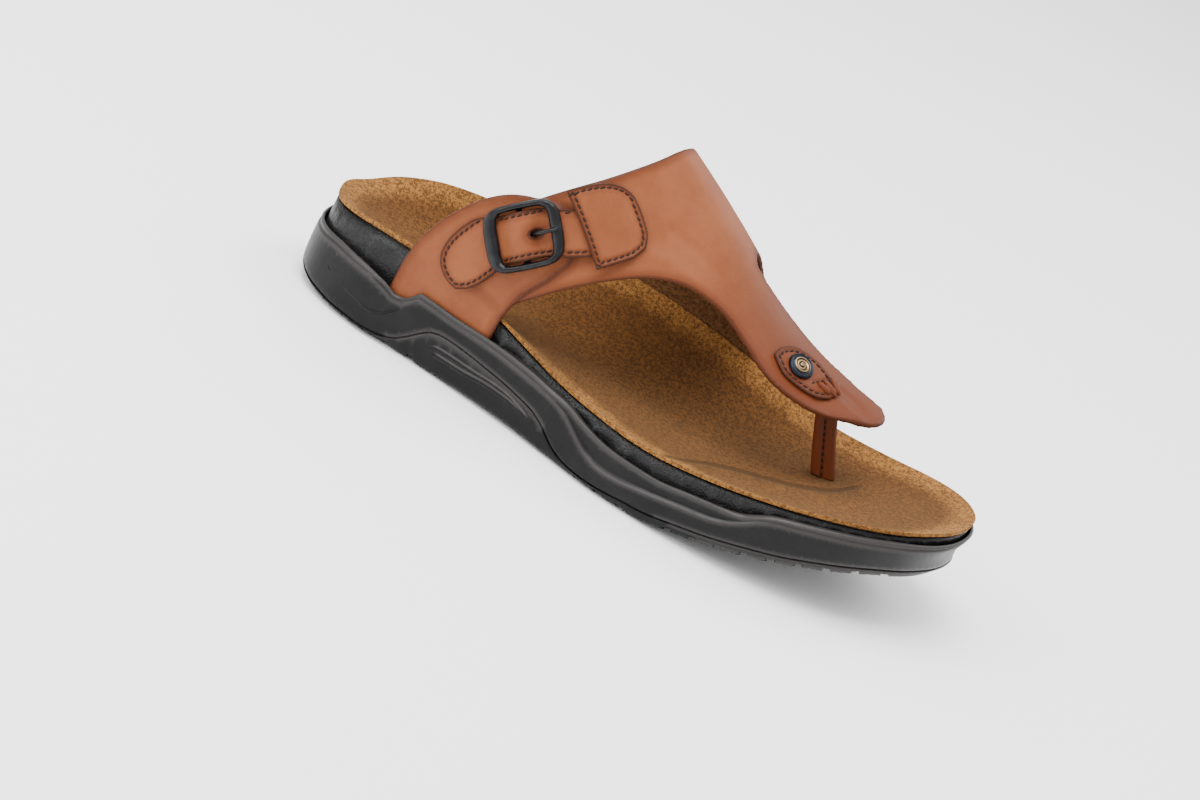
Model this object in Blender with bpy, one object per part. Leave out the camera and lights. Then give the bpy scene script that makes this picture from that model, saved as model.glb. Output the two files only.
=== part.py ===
# Toe post sandal, right shoe. A black cupped outsole carries a wrapped footbed with a suede cover.
# A leather T-strap runs over the instep and forward to a post between the toes, and is joined at
# the outer side to a rear quarter. A buckled strap ties the two together.
# Metres, +X to the toe, +Y to the inner side, +Z up, origin under the middle of the sole.

import math

import bmesh
import bpy
import numpy as np
from mathutils import Vector
from mathutils.geometry import delaunay_2d_cdt

MM = 0.001

# Driving sizes of the foot form
FOOT_LENGTH = 0.268      # insole, heel to toe
BALL_WIDTH = 0.094       # insole across the ball
RIM_HEIGHT = 0.045       # top of the insole's rim at the toe, above the floor
INSTEP_HEIGHT = 0.112    # crest of the foot form at the back of the T-strap
TOE_SPRING = 0.025       # lift of the sole's bottom just behind the tip
STRAP_BASE = 0.027       # height where the outer straps turn straight down
CREST_SHIFT = 0.020      # how far the crest may lean to the inner side

# Walls, steps and clearances
GAP = 0.0003
SUEDE = 0.0015
LEATHER = 0.0022
STRAP_LEATHER = 0.0018
PATCH_LEATHER = 0.0012
QUARTER_LIFT = 0.0014    # the quarter is sewn into the T-strap's outer face by the rest of its wall
LAST_CLEARANCE = 0.0006  # the straps' inner faces off the rim
FLOOR = 0.006            # outsole under the footbed
TIP_FILL = 0.005         # extra under the toe's tip
SOLE_FLARE = 0.005       # outsole's side beyond the rim
WRAP_INSET = 0.0005      # footbed's side inside the rim
SLOT_WALL = 0.0016       # outsole outside a strap's slot, with its top edge's rounding
MOUTH = 0.0014           # open groove round the footbed at the outsole's top edge
MOUTH_DEPTH = 0.003
EDGE_BEVEL = 0.0012      # tread's lower edge
GROOVE_HALF = 0.0007     # half the height of the side groove
GROOVE_DEPTH = 0.0009
PANEL_STEP = 0.0012      # depth of the recess between raised panel and top edge
ROOT_RUN = 0.100         # straight drop for one unit of girth past the strap base
QUARTER_ROOT = 0.012     # lower end of the quarter in its slot, below the strap base
QUARTER_REACH = 0.020    # quarter's front edge past the middle of the buckle, along the strap

# Buckle, on the outer side of the quarter
BUCKLE_LENGTH = 0.0275
BUCKLE_WIDTH = 0.0243
BUCKLE_BAR_REAR = 0.0050
BUCKLE_BAR_FRONT = 0.0040
BUCKLE_RAIL = 0.0025
BUCKLE_THICK = 0.0026
BUCKLE_TURN = math.radians(41)
BUCKLE_AT = (0.284, 0.571)     # shares of foot length and instep height
CENTRE_BAR_RADIUS = 0.0011
PRONG_RADIUS = 0.0008

# Toe post and rivet
POST_LENGTH = 0.0096
POST_WIDTH = 0.0062
POST_FOOT = (0.787, 0.0075)    # share of foot length, offset to the inner side
POST_HEAD = (0.732, 0.0075)
RIVET_RADIUS = 0.0053
RIVET_HEIGHT = 0.0018
RIVET_AT = (0.683, -0.270)     # share of foot length, girth

# Tread bars across the bottom
LUG_GROOVE = 0.0026
LUG_DEPTH = 0.0012
LUG_PITCH = 0.0092

SOLE_COUNT = 144         # points round the outsole
BED_COUNT = 72           # points round the footbed and the insole
SHEET_CELL = 0.0062      # grid inside a leather sheet

# Insole rim: shares of ball width to each side and of rim height, hollow, and how square the dish is
RIM_ROWS = [
    # along, outer, inner, outer_rim, inner_rim, hollow, square
    (0.000, 0.000, 0.000, 0.770, 0.770, 0.611, 3.0),
    (0.012, 0.159, 0.120, 0.770, 0.765, 0.608, 3.0),
    (0.050, 0.266, 0.248, 0.800, 0.865, 0.600, 3.0),
    (0.120, 0.335, 0.340, 0.856, 0.970, 0.589, 3.0),
    (0.220, 0.351, 0.362, 0.856, 1.045, 0.578, 2.9),
    (0.330, 0.394, 0.344, 0.711, 1.078, 0.567, 2.5),
    (0.450, 0.463, 0.343, 0.567, 1.089, 0.522, 2.3),
    (0.560, 0.532, 0.380, 0.544, 1.011, 0.478, 2.5),
    (0.660, 0.548, 0.434, 0.611, 0.870, 0.489, 3.0),
    (0.760, 0.532, 0.442, 0.722, 0.772, 0.584, 3.6),
    (0.850, 0.471, 0.424, 0.833, 0.812, 0.680, 4.0),
    (0.920, 0.365, 0.374, 0.911, 0.888, 0.780, 4.0),
    (0.970, 0.213, 0.282, 0.965, 0.945, 0.845, 4.0),
    (1.000, -0.070, 0.070, 0.980, 0.980, 0.875, 4.0),
]

# Outsole side lines: bottom as a share of toe spring, the rest as shares of rim height
SIDE_ROWS = [
    # along, bottom, groove, outer_ridge, inner_ridge, outer_top, inner_top
    (0.000, 0.140, 0.060, 0.440, 0.440, 0.500, 0.500),
    (0.030, 0.050, 0.055, 0.455, 0.455, 0.515, 0.520),
    (0.060, 0.015, 0.050, 0.475, 0.480, 0.530, 0.545),
    (0.090, 0.000, 0.045, 0.470, 0.495, 0.520, 0.545),
    (0.140, 0.000, 0.042, 0.445, 0.490, 0.493, 0.540),
    (0.172, 0.000, 0.065, 0.385, 0.490, 0.425, 0.540),
    (0.194, 0.000, 0.118, 0.520, 0.480, 0.567, 0.530),
    (0.235, 0.000, 0.336, 0.515, 0.540, 0.557, 0.590),
    (0.254, 0.002, 0.355, 0.510, 0.550, 0.550, 0.600),
    (0.313, 0.030, 0.327, 0.515, 0.570, 0.560, 0.620),
    (0.390, 0.035, 0.270, 0.490, 0.590, 0.540, 0.630),
    (0.425, 0.020, 0.235, 0.470, 0.580, 0.510, 0.620),
    (0.448, 0.008, 0.136, 0.440, 0.560, 0.500, 0.600),
    (0.478, 0.000, 0.060, 0.344, 0.500, 0.440, 0.570),
    (0.515, 0.000, 0.042, 0.227, 0.440, 0.390, 0.540),
    (0.534, 0.000, 0.046, 0.210, 0.400, 0.380, 0.520),
    (0.600, 0.000, 0.085, 0.262, 0.340, 0.380, 0.460),
    (0.650, 0.095, 0.085, 0.318, 0.350, 0.430, 0.465),
    (0.700, 0.200, 0.086, 0.371, 0.385, 0.473, 0.490),
    (0.725, 0.265, 0.086, 0.440, 0.440, 0.500, 0.505),
    (0.760, 0.365, 0.086, 0.575, 0.575, 0.620, 0.620),
    (0.800, 0.492, 0.079, 0.640, 0.640, 0.682, 0.682),
    (0.868, 0.710, 0.080, 0.730, 0.730, 0.772, 0.772),
    (0.925, 0.870, 0.075, 0.800, 0.800, 0.840, 0.840),
    (1.000, 0.940, 0.075, 0.850, 0.850, 0.885, 0.885),
]

# How far each line of the side stands out, as shares of the sole's flare
FLARE_ROWS = [
    # along, tread, panel_low, panel, ridge, top
    (0.000, 0.05, 0.25, 0.36, 0.36, 0.36),
    (0.050, 0.40, 0.60, 0.78, 0.68, 0.55),
    (0.150, 0.70, 0.85, 1.00, 1.00, 0.85),
    (0.200, 0.70, 0.85, 1.05, 1.10, 1.02),
    (0.380, 0.75, 0.90, 1.10, 1.12, 1.02),
    (0.500, 0.80, 0.90, 1.10, 1.05, 0.75),
    (0.700, 0.70, 0.80, 1.00, 1.00, 0.75),
    (0.800, 0.60, 0.70, 0.90, 0.95, 0.80),
    (0.900, 0.35, 0.45, 0.70, 0.85, 0.75),
    (0.960, 0.00, 0.05, 0.30, 0.55, 0.55),
    (1.000, -0.45, -0.50, -0.20, 0.25, 0.34),
]

# Foot form over the rim: crest height as a share of instep height, crest offset as a share of
# crest shift, and fullness, which is 2 for a round side and nearer 1 for a straight one
CREST_ROWS = [
    # along, height, shift, fullness
    (0.112, 1.250, 0.20, 2.00),
    (0.224, 1.175, 0.25, 2.00),
    (0.280, 1.120, 0.30, 1.90),
    (0.362, 1.028, 0.45, 1.65),
    (0.399, 0.985, 0.50, 1.50),
    (0.455, 0.913, 0.55, 1.38),
    (0.500, 0.850, 0.60, 1.33),
    (0.552, 0.770, 0.68, 1.30),
    (0.608, 0.676, 0.75, 1.27),
    (0.651, 0.623, 0.78, 1.27),
    (0.692, 0.587, 0.78, 1.27),
    (0.730, 0.562, 0.78, 1.27),
    (0.768, 0.542, 0.75, 1.27),
    (0.803, 0.530, 0.68, 1.30),
    (0.828, 0.518, 0.60, 1.40),
]

# Cut shapes: a row is a share of foot length and a girth, and 1 marks a corner
T_STRAP_CUT = [
    (0.235, -0.925, 1), (0.243, -0.800, 0), (0.258, -0.700, 0), (0.276, -0.642, 0),
    (0.312, -0.532, 0), (0.347, -0.407, 0), (0.379, -0.250, 0), (0.396, -0.090, 0),
    (0.403, 0.060, 0), (0.398, 0.250, 0), (0.385, 0.500, 0), (0.361, 0.750, 0),
    (0.338, 0.930, 0), (0.327, 1.050, 0), (0.322, 1.300, 1), (0.622, 1.300, 1),
    (0.622, 1.050, 0), (0.616, 0.850, 0), (0.595, 0.500, 0), (0.568, 0.200, 0),
    (0.549, -0.008, 1), (0.560, -0.072, 0), (0.584, -0.058, 0), (0.612, -0.032, 0),
    (0.650, -0.016, 0),
    (0.720, -0.013, 0), (0.785, -0.004, 0), (0.810, 0.002, 0), (0.822, -0.055, 0),
    (0.821, -0.150, 0),
    (0.810, -0.227, 0), (0.783, -0.291, 0), (0.757, -0.345, 0), (0.725, -0.384, 0),
    (0.663, -0.405, 0), (0.618, -0.388, 0), (0.574, -0.383, 0), (0.540, -0.402, 0),
    (0.499, -0.442, 0), (0.455, -0.517, 0), (0.401, -0.645, 0), (0.341, -0.818, 0),
    (0.303, -0.925, 1),
]
POST_PATCH_CUT = [
    (0.644, -0.320, 0), (0.645, -0.272, 0), (0.655, -0.222, 0), (0.672, -0.172, 0),
    (0.694, -0.145, 0), (0.718, -0.155, 0), (0.738, -0.185, 0), (0.746, -0.233, 0),
    (0.742, -0.282, 0), (0.724, -0.330, 0), (0.694, -0.350, 0), (0.665, -0.352, 0),
]

# Cut shapes in side view: shares of foot length and of instep height
QUARTER_CUT = [
    (0.149, 0.280, 0), (0.155, 0.380, 0), (0.172, 0.478, 0), (0.206, 0.598, 0),
    (0.243, 0.669, 0), (0.277, 0.695, 0), (0.305, 0.702, 0), (0.333, 0.680, 0),
    (0.350, 0.630, 0), (0.353, 0.560, 0), (0.340, 0.482, 0), (0.320, 0.400, 0),
    (0.310, 0.305, 0),
]
END_PATCH_CUT = [
    (0.300, 0.754, 1), (0.324, 0.804, 0), (0.340, 0.825, 0), (0.358, 0.832, 0),
    (0.378, 0.820, 0), (0.402, 0.776, 0), (0.421, 0.735, 0), (0.428, 0.700, 0),
    (0.422, 0.660, 0), (0.388, 0.582, 1), (0.350, 0.662, 0),
]

# Buckle strap: shares of the buckle's length along it and of the buckle's width across it
BUCKLE_STRAP_CUT = [
    (0.97, 0.17, 1), (0.69, 0.23, 0), (0.47, 0.285, 0), (0.29, 0.362, 0), (-0.26, 0.362, 0),
    (-0.39, 0.375, 0), (-0.55, 0.41, 0), (-0.80, 0.325, 0), (-1.05, 0.15, 0), (-1.19, -0.07, 0),
    (-1.20, -0.26, 0), (-1.15, -0.44, 0), (-1.05, -0.575, 0), (-0.87, -0.613, 0),
    (-0.69, -0.568, 0), (-0.52, -0.485, 0), (-0.38, -0.400, 0), (-0.26, -0.362, 0),
    (0.26, -0.362, 0), (0.48, -0.44, 0), (0.74, -0.50, 0), (0.97, -0.555, 1),
]


def smooth_curve(places, values):
    """A smooth curve through a table's rows that never overshoots them."""
    places = np.array(places, float)
    values = np.array(values, float)
    step = np.diff(places)
    rise = np.diff(values) / step
    slope = np.zeros(len(places))
    slope[0] = rise[0]
    slope[-1] = rise[-1]
    for i in range(1, len(places) - 1):
        if rise[i - 1] * rise[i] > 0:
            before = 2 * step[i] + step[i - 1]
            after = step[i] + 2 * step[i - 1]
            slope[i] = (before + after) / (before / rise[i - 1] + after / rise[i])

    def at(place):
        i = int(np.clip(np.searchsorted(places, place) - 1, 0, len(step) - 1))
        t = float(np.clip((place - places[i]) / step[i], 0, 1))
        start = values[i] * (1 + 2 * t) * (1 - t) ** 2 + slope[i] * step[i] * t * (1 - t) ** 2
        end = values[i + 1] * t * t * (3 - 2 * t) + slope[i + 1] * step[i] * t * t * (t - 1)
        return float(start + end)

    return at


def read_columns(names, rows, key=lambda along: along):
    places = [key(row[0]) for row in rows]
    return {
        name: smooth_curve(places, [row[i + 1] for row in rows])
        for i, name in enumerate(names)
    }


def turn_of(along):
    """Half turn from heel to toe, so that the round ends get evenly spaced points."""
    return math.acos(1 - 2 * min(max(along, 0), 1))


RIM = read_columns(("outer", "inner", "outer_rim", "inner_rim", "hollow", "square"), RIM_ROWS, turn_of)
SIDE = read_columns(
    ("bottom", "groove", "outer_ridge", "inner_ridge", "outer_top", "inner_top"), SIDE_ROWS
)
FLARE = read_columns(("tread", "panel_low", "panel", "ridge", "top"), FLARE_ROWS)
CREST = read_columns(("height", "shift", "fullness"), CREST_ROWS)


def soft_step(value, low, high):
    t = min(max((value - low) / (high - low), 0), 1)
    return t * t * (3 - 2 * t)


# Plan of the rim: a loop angle runs from the heel along the outer side to the toe and back


def split_loop(angle):
    """Share of length and side (-1 outer, 1 inner) for a loop angle."""
    angle %= 2 * math.pi
    side = -1 if angle <= math.pi else 1
    half = angle if side < 0 else 2 * math.pi - angle
    return (1 - math.cos(half)) / 2, side


def side_name(side):
    return "outer" if side < 0 else "inner"


def rim_y(along, side):
    return side * BALL_WIDTH * RIM[side_name(side)](turn_of(along))


def rim_z(along, side):
    return RIM_HEIGHT * RIM[side_name(side) + "_rim"](turn_of(along))


def rim_plan(angle, out=0.0):
    """Point of the rim's outline, moved out square to it."""
    def point(a):
        along, side = split_loop(a)
        return Vector((along * FOOT_LENGTH, rim_y(along, side)))

    small = 0.02
    tangent = (point(angle + small) - point(angle - small)).normalized()
    return point(angle) + Vector((-tangent.y, tangent.x)) * -out


def loop_angles(count):
    return [2 * math.pi * k / count for k in range(count)]


# The insole's dished top


def bed_height(x, y):
    along = min(max(x / FOOT_LENGTH, 0), 1)
    low = rim_y(along, -1)
    high = rim_y(along, 1)
    half = max((high - low) / 2, 1e-6)
    across = min(max((y - (low + high) / 2) / half, -1), 1)
    heel_reach = 0.20
    toe_reach = 0.84
    end = max((heel_reach - along) / heel_reach, (along - toe_reach) / (1 - toe_reach), 0)
    reach = math.sqrt(1 - (1 - across ** 2) * (1 - end ** 2))
    inner_share = soft_step(across, -0.4, 0.4)
    rim = rim_z(along, -1) * (1 - inner_share) + rim_z(along, 1) * inner_share
    hollow = RIM_HEIGHT * RIM["hollow"](turn_of(along))
    return hollow + (rim - hollow) * reach ** RIM["square"](turn_of(along))


# The outsole's side lines


def bottom_z(along):
    return TOE_SPRING * SIDE["bottom"](along)


def floor_z(along):
    """The outsole under the footbed, thicker at the tip where the side tucks under."""
    return bottom_z(along) + FLOOR + TIP_FILL * soft_step(along, 0.90, 1.0)


def top_z(along, side):
    return RIM_HEIGHT * SIDE[side_name(side) + "_top"](along)


def slot_share(along, side):
    """Where a strap's end goes down between the footbed and the outsole."""
    first, last = (0.149, 0.308) if side < 0 else (0.322, 0.622)
    spread = 0.050
    inside = soft_step(along, first - spread, first - spread / 2.2)
    return inside * (1 - soft_step(along, last + spread / 2.2, last + spread))


def outsole_profile(angle):
    """Offset and height of each line of the section, from the tread's edge up and inside."""
    along, side = split_loop(angle)
    bottom = bottom_z(along)
    groove = bottom + RIM_HEIGHT * SIDE["groove"](along)
    top = top_z(along, side)
    ridge = min(RIM_HEIGHT * SIDE[side_name(side) + "_ridge"](along), top - 1.6 * MM)
    groove = min(groove, ridge - 2.4 * MM)
    out = {name: SOLE_FLARE * FLARE[name](along) for name in FLARE}
    recess = min(PANEL_STEP, 0.3 * max(top - ridge - 1.7 * MM, 0))
    slot_width = WRAP_INSET + LAST_CLEARANCE + LEATHER + GAP
    slot = slot_share(along, side)
    least = slot * (slot_width + SLOT_WALL)
    for line in ("panel_low", "ridge", "top"):
        out[line] = max(out[line], least)
    step = max(out["ridge"] - 0.5 * MM - recess, least - 0.7 * MM)
    wall = -WRAP_INSET + GAP + slot * slot_width
    mouth = max(wall, min(MOUTH, out["top"] - 1.3 * MM))
    return [
        (out["tread"] - EDGE_BEVEL, bottom),
        (out["tread"], bottom + min(EDGE_BEVEL, (groove - bottom) / 2)),
        (out["panel_low"], groove - GROOVE_HALF / 2),
        (out["panel_low"] - GROOVE_DEPTH, groove),
        (out["panel_low"] + (out["panel"] - out["panel_low"]) / 3, groove + GROOVE_HALF),
        (out["panel"], (groove + ridge) / 2),
        (out["ridge"], ridge - 0.6 * MM),
        (step, ridge + 0.4 * MM),
        (max(out["top"] - recess / 2, step), top - 0.8 * MM),
        (out["top"] - 0.7 * MM, top),
        (mouth, top - 0.1 * MM),
        (wall, top - MOUTH_DEPTH),
        (wall, floor_z(along)),
    ]


# The foot form that the straps are cut and lasted on


def last_surface(along, girth):
    side = -1 if girth < 0 else 1
    turn = abs(girth)
    crest = Vector((
        along * FOOT_LENGTH,
        CREST_SHIFT * CREST["shift"](along),
        INSTEP_HEIGHT * CREST["height"](along),
    ))
    base_y = rim_y(along, side) + side * LAST_CLEARANCE
    base_z = STRAP_BASE if side < 0 else rim_z(along, side) + MM
    if turn >= 1:
        return Vector((crest.x, base_y, base_z - (turn - 1) * ROOT_RUN))
    angle = (1 - turn) * math.pi / 2
    full = CREST["fullness"](along)
    full += (2 - full) * (1 - turn) ** 6
    across = math.cos(angle) ** (2 / full)
    rise = math.sin(angle) ** (2 / full)
    return Vector((
        crest.x,
        crest.y + (base_y - crest.y) * across,
        base_z + (crest.z - base_z) * rise,
    ))


def last_point(along, girth, height=0.0):
    """Point at a height square off the foot form."""
    small = 0.01
    forward = last_surface(along + small, girth) - last_surface(along - small, girth)
    round_about = last_surface(along, girth + small) - last_surface(along, girth - small)
    normal = forward.cross(round_about).normalized()
    return last_surface(along, girth) + normal * height


def girth_at(along, z):
    """Girth on the outer side for a height above the floor."""
    if z <= STRAP_BASE:
        return -1 - (STRAP_BASE - z) / ROOT_RUN
    low, high = -1.0, 0.0
    for _ in range(30):
        middle = (low + high) / 2
        if last_surface(along, middle).z < z:
            low = middle
        else:
            high = middle
    return low


def buckle_place(u, w):
    """Share of length and girth for a place along and across the buckle."""
    cos, sin = math.cos(BUCKLE_TURN), math.sin(BUCKLE_TURN)
    x = BUCKLE_AT[0] * FOOT_LENGTH + u * cos - w * sin
    z = BUCKLE_AT[1] * INSTEP_HEIGHT + u * sin + w * cos
    along = x / FOOT_LENGTH
    return along, girth_at(along, z)


# Heights of the layers on the foot form


def quarter_under(along, girth):
    """The quarter rises off the rim to lie over the T-strap."""
    z = last_surface(along, girth).z
    return QUARTER_LIFT * soft_step(z, STRAP_BASE + 1 * MM, STRAP_BASE + 15 * MM)


def strap_under(u):
    """Under face of the buckle strap: on the quarter, over the centre bar, down on the T-strap."""
    quarter_top = QUARTER_LIFT + LEATHER + GAP
    arch = 2 * CENTRE_BAR_RADIUS + 1.2 * MM
    over_bar = arch * (1 - soft_step(abs(u), 2.6 * MM, 6.8 * MM))
    drop = QUARTER_LIFT * soft_step(u, QUARTER_REACH + 0.8 * MM, QUARTER_REACH + 5.5 * MM)
    return quarter_top + over_bar - drop


def buckle_under():
    return QUARTER_LIFT + LEATHER + GAP + STRAP_LEATHER + GAP


# Mesh tools


def new_object(name, mesh, material):
    obj = bpy.data.objects.new(name, mesh)
    parts.objects.link(obj)
    mesh.materials.append(material)
    return obj


def make_material(name, colour, roughness, metallic=0.0):
    material = bpy.data.materials.new(name)
    material.use_nodes = True
    shader = material.node_tree.nodes["Principled BSDF"]
    shader.inputs["Base Color"].default_value = (*colour, 1)
    shader.inputs["Roughness"].default_value = roughness
    shader.inputs["Metallic"].default_value = metallic
    return material


def shade(mesh, degrees=35):
    mesh.shade_smooth()
    mesh.set_sharp_from_angle(angle=math.radians(degrees))


def finish_mesh(name, bm):
    bmesh.ops.recalc_face_normals(bm, faces=bm.faces)
    bmesh.ops.triangulate(bm, faces=bm.faces)
    if bm.calc_volume(signed=True) < 0:
        bmesh.ops.reverse_faces(bm, faces=bm.faces)
    mesh = bpy.data.meshes.new(name)
    bm.to_mesh(mesh)
    bm.free()
    shade(mesh)
    return mesh


def loft_rings(name, rings):
    """Closed body through rings of equal count, with both ends filled across from side to side."""
    bm = bmesh.new()
    loops = [[bm.verts.new(point) for point in ring] for ring in rings]
    count = len(loops[0])
    for lower, upper in zip(loops, loops[1:]):
        for k in range(count):
            n = (k + 1) % count
            bm.faces.new((lower[k], lower[n], upper[n], upper[k]))
    for end in (loops[0], loops[-1]):
        for k in range(count // 2):
            face = [end[k], end[k + 1], end[(count - k - 1) % count], end[(count - k) % count]]
            bm.faces.new(list(dict.fromkeys(face)))
    return finish_mesh(name, bm)


def smooth_cut(rows, spacing):
    """Outline through a cut's rows: rounded between corners, with points about evenly spaced."""
    points = [Vector(row[:2]) for row in rows]
    corner = [bool(row[2]) for row in rows]
    count = len(points)
    outline = []
    for i in range(count):
        a, b = points[i], points[(i + 1) % count]
        before = a - b if corner[i] else points[i - 1] - b
        after = b - a if corner[(i + 1) % count] else points[(i + 2) % count] - a
        start = -before * (1.0 if corner[i] else 0.5)
        end = after * (1.0 if corner[(i + 1) % count] else 0.5)
        steps = max(1, round((b - a).length / spacing))
        for s in range(steps):
            t = s / steps
            outline.append(
                a * (1 + 2 * t) * (1 - t) ** 2 + start * t * (1 - t) ** 2
                + b * t * t * (3 - 2 * t) + end * t * t * (t - 1)
            )
    return outline


def within(point, loop):
    """Whether a flat point lies inside a closed loop."""
    crossings = 0
    for a, b in zip(loop, loop[1:] + loop[:1]):
        if (a.y > point.y) != (b.y > point.y):
            crossings += point.x < a.x + (b.x - a.x) * (point.y - a.y) / (b.y - a.y)
    return crossings % 2 == 1


def leather_sheet(name, outline, cell, bottom_face, top_face, holes=()):
    """Closed sheet from a flat cut. The two faces are functions from the flat to the foot form."""
    loops = [outline, *holes]
    flat = []
    edges = []
    for loop in loops:
        first = len(flat)
        flat.extend(loop)
        edges.extend((first + k, first + (k + 1) % len(loop)) for k in range(len(loop)))
    border = [Vector(point) for point in flat]
    low = Vector((min(p.x for p in border), min(p.y for p in border)))
    high = Vector((max(p.x for p in border), max(p.y for p in border)))
    rows = max(1, round((high.y - low.y) / cell[1]))
    columns = max(1, round((high.x - low.x) / cell[0]))
    for r in range(1, rows):
        for c in range(1, columns):
            shift = 0.5 if r % 2 else 0.0
            point = Vector((
                low.x + (c + shift) * (high.x - low.x) / columns,
                low.y + r * (high.y - low.y) / rows,
            ))
            reach = min(math.hypot((point.x - b.x) / cell[0], (point.y - b.y) / cell[1]) for b in border)
            if reach > 0.55:
                flat.append(point)
    inside_only = 1
    verts, _, faces, _, _, _ = delaunay_2d_cdt(flat, edges, [], inside_only, 1e-7)
    for hole in holes:
        faces = [
            face for face in faces
            if not within(sum((verts[v] for v in face), Vector((0, 0))) / len(face), hole)
        ]
    bm = bmesh.new()
    under = [bm.verts.new(bottom_face(*point)) for point in verts]
    over = [bm.verts.new(top_face(*point)) for point in verts]
    border_edges = {}
    for face in faces:
        bm.faces.new([under[v] for v in reversed(face)])
        bm.faces.new([over[v] for v in face])
        for a, b in zip(face, face[1:] + face[:1]):
            key = (min(a, b), max(a, b))
            border_edges[key] = None if key in border_edges else (a, b)
    for edge in border_edges.values():
        if edge:
            a, b = edge
            bm.faces.new((under[a], under[b], over[b], over[a]))
    loose = [vert for vert in bm.verts if not vert.link_faces]
    bmesh.ops.delete(bm, geom=loose, context="VERTS")
    return finish_mesh(name, bm)


def apply_boolean(target, cutter, operation):
    """Join or cut a part for good, and drop the helper."""
    modifier = target.modifiers.new(operation.title(), "BOOLEAN")
    modifier.operation = operation
    modifier.solver = "EXACT"
    modifier.object = cutter
    bpy.context.view_layer.update()
    evaluated = target.evaluated_get(bpy.context.evaluated_depsgraph_get())
    mesh = bpy.data.meshes.new_from_object(evaluated)
    target.modifiers.clear()
    target.data = mesh
    bpy.data.objects.remove(cutter)


def helper_object(name, mesh):
    obj = bpy.data.objects.new(name, mesh)
    obj.hide_render = True
    obj.display_type = "WIRE"
    helpers.objects.link(obj)
    return obj


# Sole unit


def build_outsole(material):
    profiles = [outsole_profile(angle) for angle in loop_angles(SOLE_COUNT)]
    rings = []
    for row in range(len(profiles[0])):
        ring = []
        for angle, profile in zip(loop_angles(SOLE_COUNT), profiles):
            plan = rim_plan(angle, profile[row][0])
            ring.append((plan.x, plan.y, profile[row][1]))
        rings.append(ring)
    outsole = new_object("outsole", loft_rings("outsole", rings), material)
    apply_boolean(outsole, tread_cutter(), "DIFFERENCE")
    shade(outsole.data)
    return outsole


def tread_cutter():
    """Straight grooves across the heel and the forefoot, each laid along the bottom's slope."""
    bm = bmesh.new()
    small = 0.005
    for first, last in ((0.075, 0.255), (0.510, 0.930)):
        count = round((last - first) * FOOT_LENGTH / LUG_PITCH)
        for k in range(count + 1):
            along = first + (last - first) * k / count
            rise = (bottom_z(along + small) - bottom_z(along - small)) / (2 * small * FOOT_LENGTH)
            box = bmesh.ops.create_cube(bm, size=1)["verts"]
            turn = math.atan(rise)
            for vert in box:
                x = vert.co.x * LUG_GROOVE
                z = vert.co.z * 2 * LUG_DEPTH
                vert.co = (
                    along * FOOT_LENGTH + x * math.cos(turn) - z * math.sin(turn),
                    vert.co.y * 2 * BALL_WIDTH,
                    bottom_z(along) + x * math.sin(turn) + z * math.cos(turn),
                )
    mesh = bpy.data.meshes.new("tread_grooves")
    bm.to_mesh(mesh)
    bm.free()
    return helper_object("tread_grooves", mesh)


def dish_rings(shares, drop, inset=0.0):
    """Rings from the rim in to the middle line, a given depth under the dished top."""
    rings = []
    for share in shares:
        ring = []
        for angle in loop_angles(BED_COUNT):
            along, _ = split_loop(angle)
            rim = rim_plan(angle, -inset)
            middle_at = min(max(along, 0.15), 0.85)
            middle_y = (rim_y(middle_at, -1) + rim_y(middle_at, 1)) / 2
            middle = Vector((middle_at * FOOT_LENGTH, middle_y))
            plan = middle + (rim - middle) * share
            ring.append((plan.x, plan.y, bed_height(plan.x, plan.y) - drop))
        rings.append(ring)
    return rings


def build_insole(material):
    shares = (0.12, 0.50, 0.76, 0.90, 0.97, 1.0)
    rings = dish_rings(shares, 0.0) + dish_rings(shares[::-1], SUEDE)
    return new_object("insole", loft_rings("insole", rings), material)


def build_footbed(material):
    shares = (1.0, 0.97, 0.90, 0.76, 0.50, 0.12)
    base = []
    for angle in loop_angles(BED_COUNT):
        along, _ = split_loop(angle)
        plan = rim_plan(angle, -WRAP_INSET)
        base.append((plan.x, plan.y, floor_z(along) + GAP))
    rings = [base] + dish_rings(shares, SUEDE + 1.7 * GAP, WRAP_INSET)
    return new_object("footbed", loft_rings("footbed", rings), material)


# Leather


def girth_sheet(name, cut, lower, upper, cell=SHEET_CELL):
    """Sheet cut in shares of length and girth."""
    scaled = [(row[0] * FOOT_LENGTH, row[1] * ROOT_RUN, row[2]) for row in cut]
    outline = [Vector((p.x / FOOT_LENGTH, p.y / ROOT_RUN)) for p in smooth_cut(scaled, cell)]
    return leather_sheet(
        name, outline, (cell / FOOT_LENGTH, cell / ROOT_RUN),
        lambda a, g: last_point(a, g, lower(a, g)),
        lambda a, g: last_point(a, g, upper(a, g)),
    )


def side_cut(cut):
    """Turn a side-view cut into shares of length and girth."""
    return [(row[0], girth_at(row[0], row[1] * INSTEP_HEIGHT), row[2]) for row in cut]


def build_upper(material):
    t_strap = girth_sheet("upper", T_STRAP_CUT, lambda a, g: 0.0, lambda a, g: LEATHER)
    root_girth = -1 - QUARTER_ROOT / ROOT_RUN
    root = [(QUARTER_CUT[-1][0], root_girth, 1), (QUARTER_CUT[0][0], root_girth, 1)]
    quarter = girth_sheet(
        "quarter", side_cut(QUARTER_CUT) + root,
        quarter_under, lambda a, g: quarter_under(a, g) + LEATHER,
    )
    upper = new_object("upper", t_strap, material)
    apply_boolean(upper, helper_object("quarter", quarter), "UNION")
    shade(upper.data)
    return upper


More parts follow.
